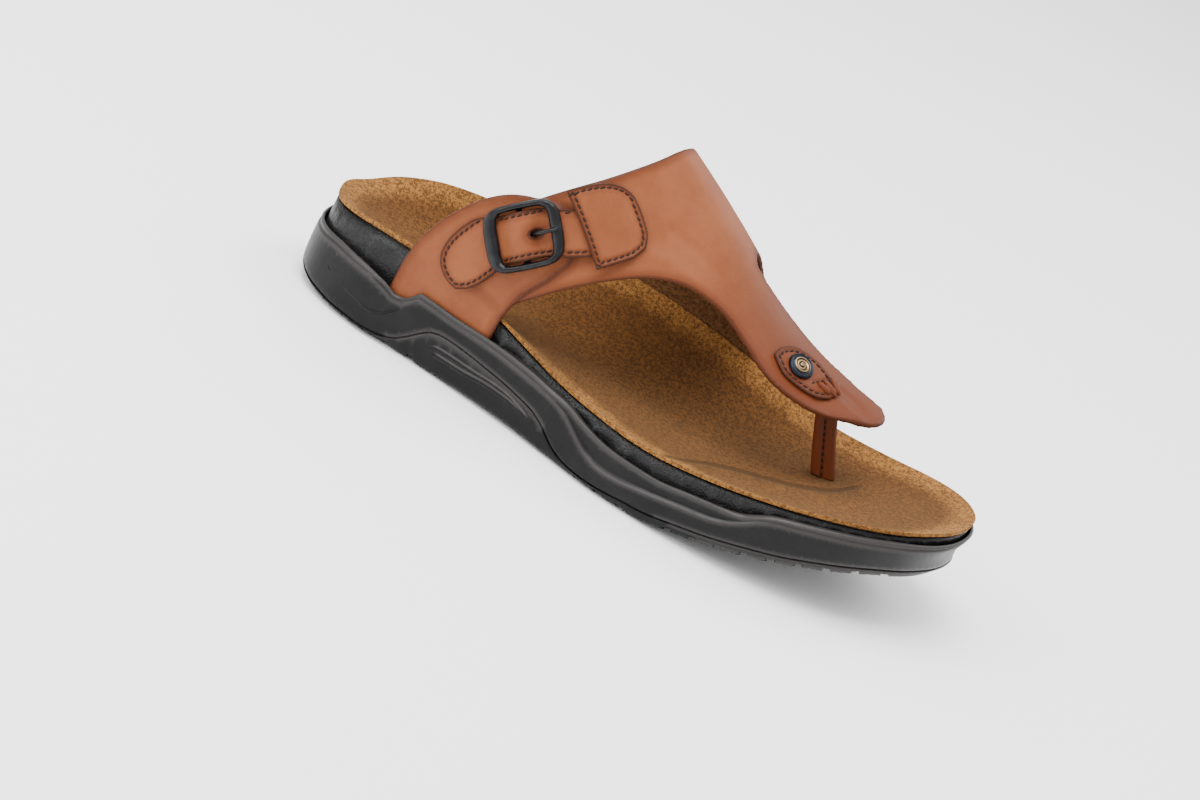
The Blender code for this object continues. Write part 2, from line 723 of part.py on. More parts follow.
def build_buckle_strap(material):
    rows = [(row[0] * BUCKLE_LENGTH, row[1] * BUCKLE_WIDTH, row[2]) for row in BUCKLE_STRAP_CUT]
    cell = 0.6 * SHEET_CELL
    slot_middle = 5.0 * MM
    slot = [
        Vector((slot_middle + 2.1 * MM * math.cos(a), 1.35 * MM * math.sin(a)))
        for a in loop_angles(10)
    ]
    mesh = leather_sheet(
        "buckle_strap", smooth_cut(rows, cell), (cell, cell),
        lambda u, w: last_point(*buckle_place(u, w), strap_under(u)),
        lambda u, w: last_point(*buckle_place(u, w), strap_under(u) + STRAP_LEATHER),
        holes=[slot],
    )
    return new_object("buckle_strap", mesh, material)


def build_end_patch(material):
    """The patch lies on the T-strap and rises over the buckle strap's hidden end."""
    cos, sin = math.cos(BUCKLE_TURN), math.sin(BUCKLE_TURN)

    def under(along, girth):
        point = last_surface(along, girth)
        u = (point.x - BUCKLE_AT[0] * FOOT_LENGTH) * cos + (point.z - BUCKLE_AT[1] * INSTEP_HEIGHT) * sin
        over_strap = 1 - soft_step(u, 1.02 * BUCKLE_LENGTH, 1.35 * BUCKLE_LENGTH)
        strap_top = strap_under(u) + STRAP_LEATHER
        return LEATHER + GAP + (strap_top - LEATHER) * over_strap

    mesh = girth_sheet(
        "end_patch", side_cut(END_PATCH_CUT), under, lambda a, g: under(a, g) + PATCH_LEATHER,
        0.55 * SHEET_CELL,
    )
    return new_object("end_patch", mesh, material)


def build_post_patch(material):
    under = LEATHER + GAP
    mesh = girth_sheet(
        "post_patch", POST_PATCH_CUT, lambda a, g: under, lambda a, g: under + PATCH_LEATHER,
        0.7 * SHEET_CELL,
    )
    return new_object("post_patch", mesh, material)


def build_toe_post(material):
    """Folded leather from the insole up to the under face of the T-strap's stem."""
    foot = Vector((POST_FOOT[0] * FOOT_LENGTH, POST_FOOT[1]))
    head = Vector((POST_HEAD[0] * FOOT_LENGTH, POST_HEAD[1]))
    sides = 16
    levels = 5

    def section(centre, k):
        angle = 2 * math.pi * k / sides
        round_power = 0.6
        x = math.copysign(abs(math.cos(angle)) ** round_power, math.cos(angle))
        y = math.copysign(abs(math.sin(angle)) ** round_power, math.sin(angle))
        return centre.x + x * POST_LENGTH / 2, centre.y + y * POST_WIDTH / 2

    def stem_under(x, y):
        along = x / FOOT_LENGTH
        low, high = -1.0, 0.0
        for _ in range(30):
            middle = (low + high) / 2
            if last_surface(along, middle).y < y:
                low = middle
            else:
                high = middle
        return last_surface(along, low).z

    rings = []
    for level in range(levels):
        share = level / (levels - 1)
        centre = foot.lerp(head, share)
        ring = []
        for k in range(sides):
            x, y = section(centre, k)
            low = bed_height(x, y) + GAP
            high = stem_under(x, y) - 1.5 * GAP
            ring.append((x, y, low + (high - low) * share))
        rings.append(ring)
    return new_object("toe_post", loft_rings("toe_post", rings), material)


# Metal


def build_buckle(material):
    """Frame with a wide rear bar, joined to a centre bar that the strap arches over."""
    def rounded(half_length, half_width, radius, shift):
        loop = []
        for cx, cy, start in ((1, 1, 0), (-1, 1, 90), (-1, -1, 180), (1, -1, 270)):
            for step in range(4):
                angle = math.radians(start + 30 * step)
                loop.append(Vector((
                    shift + cx * (half_length - radius) + radius * math.cos(angle),
                    cy * (half_width - radius) + radius * math.sin(angle),
                )))
        return loop

    window_length = BUCKLE_LENGTH - BUCKLE_BAR_REAR - BUCKLE_BAR_FRONT
    window_shift = (BUCKLE_BAR_REAR - BUCKLE_BAR_FRONT) / 2
    outer = rounded(BUCKLE_LENGTH / 2, BUCKLE_WIDTH / 2, 6.8 * MM, 0)
    inner = rounded(window_length / 2, BUCKLE_WIDTH / 2 - BUCKLE_RAIL, 3.4 * MM, window_shift)
    under = buckle_under()
    crown = 0.35 * MM
    frame = bmesh.new()
    loops = []
    for share, height in ((0, 0), (0, 0.7), (0.25, 1), (0.75, 1), (1, 0.7), (1, 0)):
        loop = []
        for a, b in zip(outer, inner):
            flat = a.lerp(b, share)
            top = under + height * BUCKLE_THICK + (crown if height == 1 else 0)
            loop.append(frame.verts.new(last_point(*buckle_place(*flat), top)))
        loops.append(loop)
    count = len(outer)
    for lower, upper in zip(loops, loops[1:] + loops[:1]):
        for k in range(count):
            n = (k + 1) % count
            frame.faces.new((lower[k], lower[n], upper[n], upper[k]))
    buckle = new_object("buckle", finish_mesh("buckle", frame), material)

    half = BUCKLE_WIDTH / 2 - BUCKLE_RAIL / 2
    axis_height = under - STRAP_LEATHER + CENTRE_BAR_RADIUS
    rings = []
    for end in (-1, -0.5, 0, 0.5, 1):
        ring = []
        for angle in loop_angles(8):
            u = CENTRE_BAR_RADIUS * math.cos(angle)
            height = axis_height + CENTRE_BAR_RADIUS * math.sin(angle)
            ring.append(last_point(*buckle_place(u, end * half), height))
        rings.append(ring)
    bar = helper_object("centre_bar", loft_rings("centre_bar", rings))
    apply_boolean(buckle, bar, "UNION")
    shade(buckle.data)
    return buckle


def build_prong(material):
    """Starts beside the centre bar, comes up through the strap's slot and rests on the front bar."""
    bar_height = buckle_under() - STRAP_LEATHER + CENTRE_BAR_RADIUS
    rest = buckle_under() + BUCKLE_THICK + 2 * GAP + PRONG_RADIUS + 0.2 * MM
    front_bar = BUCKLE_LENGTH / 2 - BUCKLE_BAR_FRONT / 2
    beside_bar = CENTRE_BAR_RADIUS + GAP + PRONG_RADIUS
    path = [
        (beside_bar, bar_height), (3.6 * MM, bar_height + 0.8 * MM),
        (4.9 * MM, (bar_height + rest) / 2 + 0.4 * MM), (6.4 * MM, rest - 0.1 * MM),
        (front_bar - 2.6 * MM, rest + 0.1 * MM), (front_bar + 0.6 * MM, rest),
    ]
    rings = []
    for i, (u, height) in enumerate(path):
        before = path[max(i - 1, 0)]
        after = path[min(i + 1, len(path) - 1)]
        tangent = Vector((after[0] - before[0], after[1] - before[1])).normalized()
        ring = []
        for angle in loop_angles(8):
            across = PRONG_RADIUS * math.cos(angle)
            lift = PRONG_RADIUS * math.sin(angle)
            ring.append(last_point(
                *buckle_place(u - tangent.y * lift, across), height + tangent.x * lift
            ))
        rings.append(ring)
    return new_object("buckle_prong", loft_rings("buckle_prong", rings), material)


def build_rivet(material):
    """Turned cap: two raised rings round a small dome."""
    profile = [
        (0.0, 0.95), (0.16, 0.92), (0.27, 0.62), (0.42, 0.62), (0.50, 0.86), (0.62, 0.86),
        (0.70, 0.60), (0.80, 0.60), (0.88, 0.78), (0.96, 0.62), (1.0, 0.30), (1.0, 0.0), (0.0, 0.0),
    ]
    bm = bmesh.new()
    verts = [
        bm.verts.new((share * RIVET_RADIUS, 0, height * RIVET_HEIGHT)) for share, height in profile
    ]
    edges = [bm.edges.new(pair) for pair in zip(verts, verts[1:])]
    bmesh.ops.spin(
        bm, geom=verts + edges, cent=(0, 0, 0), axis=(0, 0, 1), angle=2 * math.pi,
        steps=20, use_merge=True,
    )
    bmesh.ops.remove_doubles(bm, verts=bm.verts, dist=1e-6)
    mesh = finish_mesh("rivet", bm)
    seat = LEATHER + GAP + PATCH_LEATHER + GAP
    base = last_point(*RIVET_AT, seat)
    normal = (last_point(*RIVET_AT, seat + MM) - base).normalized()
    turn = Vector((0, 0, 1)).rotation_difference(normal)
    for vert in mesh.vertices:
        vert.co = base + turn @ vert.co
    return new_object("rivet", mesh, material)


def centre_parts():
    """Put the origin under the middle of the sole's plan."""
    sole = bpy.data.objects["outsole"].data
    for axis in (0, 1):
        values = [vert.co[axis] for vert in sole.vertices]
        shift = -(min(values) + max(values)) / 2
        for obj in parts.objects:
            obj.location[axis] = shift


for old in list(bpy.data.objects):
    bpy.data.objects.remove(old)
parts = bpy.data.collections.new("toe_post_sandal")
helpers = bpy.data.collections.new("helpers")
bpy.context.scene.collection.children.link(parts)
bpy.context.scene.collection.children.link(helpers)

black_rubber = make_material("black_rubber", (0.020, 0.019, 0.021), 0.45)
black_wrap = make_material("black_wrap", (0.022, 0.021, 0.023), 0.60)
tan_suede = make_material("tan_suede", (0.310, 0.150, 0.045), 0.95)
tan_leather = make_material("tan_leather", (0.360, 0.120, 0.040), 0.42)
black_metal = make_material("black_metal", (0.020, 0.021, 0.023), 0.35, 0.9)
dark_metal = make_material("dark_metal", (0.110, 0.075, 0.055), 0.45, 0.9)

build_outsole(black_rubber)
build_footbed(black_wrap)
build_insole(tan_suede)
build_upper(tan_leather)
build_buckle_strap(tan_leather)
build_end_patch(tan_leather)
build_post_patch(tan_leather)
build_toe_post(tan_leather)
build_buckle(black_metal)
build_prong(black_metal)
build_rivet(dark_metal)
centre_parts()
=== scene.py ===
import math

import bmesh
import bpy
from mathutils import Matrix, Vector, kdtree
from mathutils.bvhtree import BVHTree


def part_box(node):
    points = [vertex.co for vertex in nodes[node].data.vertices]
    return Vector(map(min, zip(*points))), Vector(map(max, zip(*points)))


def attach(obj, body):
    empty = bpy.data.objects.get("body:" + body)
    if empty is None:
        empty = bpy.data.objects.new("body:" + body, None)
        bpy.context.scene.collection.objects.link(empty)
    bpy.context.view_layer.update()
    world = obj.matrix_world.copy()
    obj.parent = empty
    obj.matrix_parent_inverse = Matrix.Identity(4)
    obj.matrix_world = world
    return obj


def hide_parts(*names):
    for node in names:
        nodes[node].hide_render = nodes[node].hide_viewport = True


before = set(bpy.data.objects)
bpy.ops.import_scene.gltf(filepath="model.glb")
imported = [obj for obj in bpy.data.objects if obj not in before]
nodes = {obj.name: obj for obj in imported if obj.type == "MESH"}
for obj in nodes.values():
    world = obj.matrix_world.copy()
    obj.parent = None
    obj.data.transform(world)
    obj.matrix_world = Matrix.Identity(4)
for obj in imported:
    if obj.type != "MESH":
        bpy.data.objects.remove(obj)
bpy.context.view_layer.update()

mm = 0.001

# Own places are measured from the insole's heel, on the line 51.5 mm in from its outer edge
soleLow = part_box("insole")[0]
outerReach = 0.0515
heelX = soleLow.x
soleShift = Vector((heelX, soleLow.y + outerReach, 0))


def axesMatrix(x, y, z, origin):
    return Matrix((
        (x.x, y.x, z.x, origin.x), (x.y, y.y, z.y, origin.y), (x.z, y.z, z.z, origin.z), (0, 0, 0, 1)))


# Camera at the photograph's angle, rolled as the shoe is there

cameraSet = {"turn": 6.2, "rise": 21.6, "roll": 28.7, "lens": 88.7, "away": 1.1053,
             "aside": -0.01647, "up": -0.0106, "target": (0.134, 0.0, 0.030)}


def placeCamera(s):
    turn, rise, roll = [math.radians(s[k]) for k in ("turn", "rise", "roll")]
    back = Vector((math.sin(turn) * math.cos(rise), -math.cos(turn) * math.cos(rise), math.sin(rise)))
    side = Vector((0, 0, 1)).cross(back).normalized()
    over = back.cross(side)
    right = math.cos(roll) * side + math.sin(roll) * over
    up = -math.sin(roll) * side + math.cos(roll) * over
    place = Vector(s["target"]) + soleShift + back * s["away"] + right * s["aside"] + up * s["up"]
    data = bpy.data.cameras.new("photoCamera")
    data.lens = s["lens"]
    data.sensor_width = 36
    camera = bpy.data.objects.new("photoCamera", data)
    bpy.context.scene.collection.objects.link(camera)
    camera.matrix_world = axesMatrix(right, up, back, place)
    bpy.context.scene.camera = camera


placeCamera(cameraSet)
print("camera placed")


# Node groups that the finishes share

def newGroup(name, inputs, outputs):
    group = bpy.data.node_groups.new(name, "ShaderNodeTree")
    for label, kind, value in inputs:
        socket = group.interface.new_socket(name=label, in_out="INPUT", socket_type=kind)
        if value is not None:
            socket.default_value = value
    for label, kind in outputs:
        group.interface.new_socket(name=label, in_out="OUTPUT", socket_type=kind)
    return group, group.nodes.new("NodeGroupInput"), group.nodes.new("NodeGroupOutput")


def feed(tree, socket, value):
    if isinstance(value, bpy.types.NodeSocket):
        tree.links.new(value, socket)
    elif value is not None:
        socket.default_value = value


def mathNode(tree, kind, a, b=None, clamp=False):
    node = tree.nodes.new("ShaderNodeMath")
    node.operation = kind
    node.use_clamp = clamp
    feed(tree, node.inputs[0], a)
    feed(tree, node.inputs[1], b)
    return node.outputs[0]


def rampBetween(tree, value, low, high, start=0.0, end=1.0):
    node = tree.nodes.new("ShaderNodeMapRange")
    node.interpolation_type = "SMOOTHSTEP"
    for k, v in enumerate((value, low, high, start, end)):
        feed(tree, node.inputs[k], v)
    return node.outputs[0]


def mixColour(tree, share, a, b):
    node = tree.nodes.new("ShaderNodeMix")
    node.data_type = "RGBA"
    feed(tree, node.inputs[0], share)
    feed(tree, node.inputs[6], a)
    feed(tree, node.inputs[7], b)
    return node.outputs[2]


def noiseNode(tree, place, scale, detail=4.0, rough=0.5):
    node = tree.nodes.new("ShaderNodeTexNoise")
    feed(tree, node.inputs["Vector"], place)
    feed(tree, node.inputs["Scale"], scale)
    node.inputs["Detail"].default_value = detail
    node.inputs["Roughness"].default_value = rough
    return node.outputs["Fac"]


def weighed(tree, a, shareA, b, shareB):
    return mathNode(tree, "ADD", mathNode(tree, "MULTIPLY", a, shareA), mathNode(tree, "MULTIPLY", b, shareB))


def buildGrain():
    group, given, out = newGroup(
        "leatherGrain",
        [("Place", "NodeSocketVector", None), ("Pore Scale", "NodeSocketFloat", 1400.0),
         ("Mottle Scale", "NodeSocketFloat", 60.0)],
        [("Height", "NodeSocketFloat"), ("Mottle", "NodeSocketFloat")])
    cells = group.nodes.new("ShaderNodeTexVoronoi")
    group.links.new(given.outputs["Place"], cells.inputs["Vector"])
    group.links.new(given.outputs["Pore Scale"], cells.inputs["Scale"])
    place = given.outputs["Place"]
    fine = noiseNode(group, place, mathNode(group, "MULTIPLY", given.outputs["Pore Scale"], 0.35), 5)
    pores = rampBetween(group, cells.outputs["Distance"], 0.05, 0.55)
    height = weighed(group, pores, 0.55, fine, 0.6)
    group.links.new(height, out.inputs["Height"])
    group.links.new(noiseNode(group, place, given.outputs["Mottle Scale"], 5, 0.6), out.inputs["Mottle"])
    return group


def buildNap():
    group, given, out = newGroup(
        "suedeNap",
        [("Place", "NodeSocketVector", None), ("Fibre Scale", "NodeSocketFloat", 1500.0)],
        [("Height", "NodeSocketFloat"), ("Speck", "NodeSocketFloat"), ("Sweep", "NodeSocketFloat")])
    place = given.outputs["Place"]
    fibre = noiseNode(group, place, given.outputs["Fibre Scale"], 6, 0.7)
    clump = noiseNode(group, place, mathNode(group, "MULTIPLY", given.outputs["Fibre Scale"], 0.42), 3, 0.6)
    group.links.new(weighed(group, fibre, 0.7, clump, 0.5), out.inputs["Height"])
    speck = weighed(group, fibre, 0.6, clump, 0.4)
    group.links.new(rampBetween(group, speck, 0.43, 0.57), out.inputs["Speck"])
    sweep = noiseNode(group, place, 42.0, 3, 0.55)
    group.links.new(rampBetween(group, sweep, 0.35, 0.65), out.inputs["Sweep"])
    return group


leatherGrain = buildGrain()
suedeNap = buildNap()


def newFinish(name, **values):
    finish = bpy.data.materials.new(name)
    finish.use_nodes = True
    tree = finish.node_tree
    shader = tree.nodes["Principled BSDF"]
    for label, value in values.items():
        shader.inputs[label.replace("_", " ")].default_value = value
    place = tree.nodes.new("ShaderNodeTexCoord").outputs["Object"]
    return finish, tree, shader, place


def useGroup(tree, group, place, **values):
    node = tree.nodes.new("ShaderNodeGroup")
    node.node_tree = group
    tree.links.new(place, node.inputs["Place"])
    for label, value in values.items():
        node.inputs[label.replace("_", " ")].default_value = value
    return node.outputs


def addBump(tree, shader, height, strength, distance, before=None):
    node = tree.nodes.new("ShaderNodeBump")
    node.inputs["Strength"].default_value = strength
    node.inputs["Distance"].default_value = distance
    feed(tree, node.inputs["Height"], height)
    feed(tree, node.inputs["Normal"], before)
    tree.links.new(node.outputs["Normal"], shader.inputs["Normal"])
    return node.outputs["Normal"]


def attribute(tree, name):
    node = tree.nodes.new("ShaderNodeAttribute")
    node.attribute_name = name
    return node.outputs["Fac"]


leatherLook = {
    "light": (0.214, 0.068, 0.026, 1), "base": (0.152, 0.042, 0.015, 1), "deep": (0.078, 0.016, 0.004, 1),
    "edge": (0.040, 0.012, 0.005, 1), "inside": (0.125, 0.055, 0.020, 1),
    "insideDeep": (0.045, 0.018, 0.006, 1), "broadScale": 18.0, "broadShare": 0.14, "wearAndShadeShare": 0.75,
    "frontShare": 0.80, "roughness": 0.46, "mottleRough": 0.16, "insideRough": 0.4, "specular": 0.13,
    "fibreScale": 1900.0, "poreScale": 1500.0, "poreBump": 0.5, "poreDepth": 0.00008}


def makeLeather(name, look):
    finish, tree, shader, place = newFinish(
        name, Roughness=look["roughness"], Specular_IOR_Level=look["specular"])
    grain = useGroup(tree, leatherGrain, place, Pore_Scale=look["poreScale"])
    mottle = grain["Mottle"]
    colour = mixColour(tree, rampBetween(tree, mottle, 0.30, 0.72, 0.2, 0.8), look["base"], look["light"])
    broad = rampBetween(tree, noiseNode(tree, place, look["broadScale"], 2), 0.35, 0.7)
    wearAndShade, front = attribute(tree, "wearAndShade"), attribute(tree, "front")
    # Darker with random broad tone, near borders and seams (partly wear, partly painted shade in the seams
    # and under the flap's step), and towards the front
    for mask, share in ((broad, look["broadShare"]), (wearAndShade, look["wearAndShadeShare"]), (front, look["frontShare"])):
        colour = mixColour(tree, mathNode(tree, "MULTIPLY", mask, share), colour, look["deep"])
    nap = useGroup(tree, suedeNap, place, Fibre_Scale=look["fibreScale"])
    lining = mixColour(tree, nap["Speck"], look["insideDeep"], look["inside"])
    inside = attribute(tree, "inside")
    colour = mixColour(tree, inside, colour, lining)
    # the pieces' own dark edge dye, and painted shade along the step where the quarter's flap lies over the
    # strap
    colour = mixColour(tree, attribute(tree, "edge"), colour, look["edge"])
    tree.links.new(colour, shader.inputs["Base Color"])
    rough = weighed(tree, mottle, look["mottleRough"], inside, look["insideRough"])
    rough = mathNode(tree, "ADD", rough, look["roughness"] - 0.06)
    tree.links.new(rough, shader.inputs["Roughness"])
    addBump(tree, shader, grain["Height"], look["poreBump"], look["poreDepth"])
    return finish


def lineMask(tree, place, points, width, across):
    # a soft line drawn through points, along X on one axis: across 1 is Y, 2 is Z
    apart = tree.nodes.new("ShaderNodeSeparateXYZ")
    tree.links.new(place, apart.inputs[0])
    start, stop = points[0][0], points[-1][0]
    low = min(p[1] for p in points)
    tall = max(p[1] for p in points) - low
    share = mathNode(tree, "DIVIDE", mathNode(tree, "SUBTRACT", apart.outputs[0], start), stop - start)
    curve = tree.nodes.new("ShaderNodeFloatCurve")
    line = curve.mapping.curves[0]
    while len(line.points) < len(points):
        line.points.new(0.5, 0.5)
    for spot, point in zip(line.points, points):
        spot.location = ((point[0] - start) / (stop - start), (point[1] - low) / tall)
    curve.mapping.update()
    tree.links.new(mathNode(tree, "ADD", share, 0.0, True), curve.inputs["Value"])
    at = mathNode(tree, "ADD", mathNode(tree, "MULTIPLY", curve.outputs[0], tall), low)
    off = mathNode(tree, "ABSOLUTE", mathNode(tree, "SUBTRACT", apart.outputs[across], at))
    near = rampBetween(tree, off, width * 0.35, width, 1.0, 0.0)
    starting = rampBetween(tree, share, 0.0, 0.06)
    ending = rampBetween(tree, share, 0.94, 1.0, 1.0, 0.0)
    return mathNode(tree, "MULTIPLY", near, mathNode(tree, "MULTIPLY", starting, ending))


def placedLine(points):
    return [(heelX + x * mm, z * mm) for x, z in points]


suedeLook = {
    "rim": (0.275, 0.120, 0.031, 1), "middle": (0.110, 0.043, 0.011, 1), "deep": (0.026, 0.010, 0.003, 1),
    "mark": (0.020, 0.008, 0.003, 1), "speckShare": 0.78, "sweepShare": 0.2, "markShare": 0.7,
    "fibreScale": 1700.0, "bump": 0.8, "napDepth": 0.0004, "markDepth": 0.0006, "markWidth": 0.0036,
    "markLine": (
        (0.1573, -0.0505), (0.1650, -0.0419), (0.1745, -0.0278), (0.1848, -0.0193), (0.1956, -0.0155),
        (0.2063, -0.0109), (0.2163, -0.0031), (0.2222, 0.0066), (0.2265, 0.0175))}


def makeSuede(name, look):
    finish, tree, shader, place = newFinish(
        name, Roughness=0.95, Specular_IOR_Level=0.10, Sheen_Weight=0.08, Sheen_Roughness=0.6,
        Sheen_Tint=(0.9, 0.6, 0.3, 1))
    nap = useGroup(tree, suedeNap, place, Fibre_Scale=look["fibreScale"])
    hollow = attribute(tree, "hollow")
    # painted shade: the suede goes from the golden rim colour to a darker colour deeper in the dish
    colour = mixColour(tree, rampBetween(tree, hollow, 0.05, 0.9), look["rim"], look["middle"])
    dark = mathNode(tree, "SUBTRACT", 1.0, nap["Speck"])
    for mask, share in ((dark, look["speckShare"]), (nap["Sweep"], look["sweepShare"])):
        colour = mixColour(tree, mathNode(tree, "MULTIPLY", mask, share), colour, look["deep"])
    markLine = [(heelX + x, soleShift.y + y) for x, y in look["markLine"]]
    mark = lineMask(tree, place, markLine, look["markWidth"], 1)
    colour = mixColour(tree, mathNode(tree, "MULTIPLY", mark, look["markShare"]), colour, look["mark"])
    tree.links.new(colour, shader.inputs["Base Color"])
    raised = mathNode(tree, "SUBTRACT", 1.0, mark)
    pressed = addBump(tree, shader, raised, look["bump"], look["markDepth"])
    addBump(tree, shader, nap["Height"], look["bump"], look["napDepth"], pressed)
    return finish


wrapLook = {
    "dark": (0.004, 0.004, 0.0045, 1), "pale": (0.011, 0.010, 0.010, 1), "poreScale": 900.0,
    "mottleScale": 260.0, "mottleHeight": 0.9, "bump": 0.9, "depth": 0.00026}


def makeWrap(name, look):
    finish, tree, shader, place = newFinish(name, Specular_IOR_Level=0.22)
    grain = useGroup(
        tree, leatherGrain, place, Pore_Scale=look["poreScale"], Mottle_Scale=look["mottleScale"])
    mottle = grain["Mottle"]
    colour = mixColour(tree, rampBetween(tree, mottle, 0.35, 0.7), look["dark"], look["pale"])
    tree.links.new(colour, shader.inputs["Base Color"])
    tree.links.new(rampBetween(tree, grain["Height"], 0.3, 0.8, 0.62, 0.42), shader.inputs["Roughness"])
    height = mathNode(tree, "ADD", grain["Height"], mathNode(tree, "MULTIPLY", mottle, look["mottleHeight"]))
    addBump(tree, shader, height, look["bump"], look["depth"])
    return finish


rubberLook = {
    "lines": (
        ((15, 13.4), (20, 11.6), (25, 11.1), (31, 10.2), (36, 9.1), (41, 10.2), (45, 13.4), (48, 16.5)),
        ((64.1, 7.7), (67.4, 10.2), (81.7, 10.6), (93.8, 10.9), (103.3, 9.5), (109.4, 7.5)),
        ((65.9, 7.6), (77.8, 8.0), (91.8, 9.2), (103.8, 8.7), (109.4, 6.9))),
    "glintRise": 1.05, "glintShare": 0.7, "lineWidth": 0.0007, "lineDepth": 0.0013,
    "ridge": (0.055, 0.050, 0.048, 1), "dark": (0.0032, 0.0031, 0.0036, 1),
    "pale": (0.0085, 0.0078, 0.0082, 1), "grainScale": 2600.0, "grainDepth": 0.00005}


def makeRubber(name, look):
    finish, tree, shader, place = newFinish(name, Specular_IOR_Level=0.15)
    scuff = rampBetween(tree, noiseNode(tree, place, 55.0, 6, 0.65), 0.4, 0.75)
    colour = mixColour(tree, scuff, look["dark"], look["pale"])
    # painted highlight: a paler colour along the sole's sharp upper edges
    colour = mixColour(tree, attribute(tree, "ridge"), colour, look["ridge"])
    for points in look["lines"][1:]:
        beside = placedLine([(x, z + look["glintRise"]) for x, z in points])
        glint = lineMask(tree, place, beside, look["lineWidth"], 2)
        colour = mixColour(tree, mathNode(tree, "MULTIPLY", glint, look["glintShare"]), colour, look["ridge"])
    tree.links.new(colour, shader.inputs["Base Color"])
    tree.links.new(rampBetween(tree, scuff, 0, 1, 0.36, 0.50), shader.inputs["Roughness"])
    depth = 1.0
    for points in look["lines"]:
        line = lineMask(tree, place, placedLine(points), look["lineWidth"], 2)
        depth = mathNode(tree, "SUBTRACT", depth, line)
    pressed = addBump(tree, shader, depth, 1.0, look["lineDepth"])
    fine = noiseNode(tree, place, look["grainScale"], 3)
    addBump(tree, shader, fine, 0.3, look["grainDepth"], pressed)
    return finish


blackMetalLook = {"dark": (0.003, 0.003, 0.004, 1), "pale": (0.010, 0.011, 0.013, 1), "wearScale": 220.0,
                  "grainScale": 1800.0, "bump": 0.3, "depth": 0.00006}


def makeBlackMetal(name, look):
    finish, tree, shader, place = newFinish(name, Metallic=0.1, Specular_IOR_Level=0.25)
    wear = rampBetween(tree, noiseNode(tree, place, look["wearScale"], 5, 0.6), 0.45, 0.75)
    colour = mixColour(tree, wear, look["dark"], look["pale"])
    tree.links.new(colour, shader.inputs["Base Color"])
    tree.links.new(rampBetween(tree, wear, 0, 1, 0.30, 0.46), shader.inputs["Roughness"])
    addBump(tree, shader, noiseNode(tree, place, look["grainScale"], 3), look["bump"], look["depth"])
    return finish


oldMetalLook = {"groove": (0.012, 0.010, 0.009, 1), "coil": (0.300, 0.190, 0.090, 1),
                "rim": (0.010, 0.013, 0.020, 1), "wearScale": 900.0, "grainScale": 1500.0,
                "bump": 0.5, "depth": 0.0001}


def makeOldMetal(name, look):
    finish, tree, shader, place = newFinish(name, Metallic=0.9)
    wear = noiseNode(tree, place, look["wearScale"], 4, 0.6)
    colour = mixColour(tree, attribute(tree, "coil"), look["groove"], look["coil"])
    colour = mixColour(tree, attribute(tree, "rim"), colour, look["rim"])
    tree.links.new(colour, shader.inputs["Base Color"])
    tree.links.new(rampBetween(tree, wear, 0.3, 0.7, 0.30, 0.48), shader.inputs["Roughness"])
    addBump(tree, shader, noiseNode(tree, place, look["grainScale"], 4), look["bump"], look["depth"])
    return finish


threadLook = {"dark": (0.007, 0.003, 0.002, 1), "pale": (0.026, 0.010, 0.005, 1), "twistScale": 2400.0,
              "bump": 0.5, "depth": 0.00008}


def makeThread(name, look):
    finish, tree, shader, place = newFinish(name, Roughness=0.75, Specular_IOR_Level=0.25)
    twist = rampBetween(tree, noiseNode(tree, place, look["twistScale"], 3), 0.35, 0.7)
    colour = mixColour(tree, twist, look["dark"], look["pale"])
    tree.links.new(colour, shader.inputs["Base Color"])
    addBump(tree, shader, twist, look["bump"], look["depth"])
    return finish


leather = makeLeather("cognacLeather", leatherLook)
suede = makeSuede("tanSuede", suedeLook)
wrapLeather = makeWrap("blackWrap", wrapLook)
rubber = makeRubber("blackRubber", rubberLook)
blackMetal = makeBlackMetal("blackMetal", blackMetalLook)
oldMetal = makeOldMetal("oldMetal", oldMetalLook)
thread = makeThread("brownThread", threadLook)
print("finishes made")


# Pieces start as copies of the frame's solids, made fine and soft

footMiddle = {"aside": 0.004, "up": 0.030}


def centreAt(point):
    return Vector((point.x, soleShift.y + footMiddle["aside"], footMiddle["up"]))


def linkPiece(name, mesh, material):
    piece = bpy.data.objects.new(name, mesh)
    bpy.context.scene.collection.objects.link(piece)
    mesh.materials.clear()
    mesh.materials.append(material)
    return piece


def bakedMesh(piece):
    bpy.context.view_layer.update()
    ready = piece.evaluated_get(bpy.context.evaluated_depsgraph_get())
    mesh = bpy.data.meshes.new_from_object(ready)
    piece.modifiers.clear()
    piece.data = mesh
    return mesh


def mergedCopy(node):
    bm = bmesh.new()
    bm.from_mesh(nodes[node].data)
    bmesh.ops.remove_doubles(bm, verts=bm.verts, dist=0.00002)
    bmesh.ops.dissolve_degenerate(bm, edges=bm.edges, dist=0.00001)
    bmesh.ops.recalc_face_normals(bm, faces=bm.faces)
    return bm


def softenMesh(mesh, rounds, material):
    bm = bmesh.new()
    bm.from_mesh(mesh)
    for _ in range(rounds):
        bmesh.ops.smooth_vert(
            bm, verts=bm.verts, factor=0.5, use_axis_x=True, use_axis_y=True, use_axis_z=True)
    bm.to_mesh(mesh)
    bm.free()
    mesh.shade_smooth()
    mesh.materials.clear()
    mesh.materials.append(material)


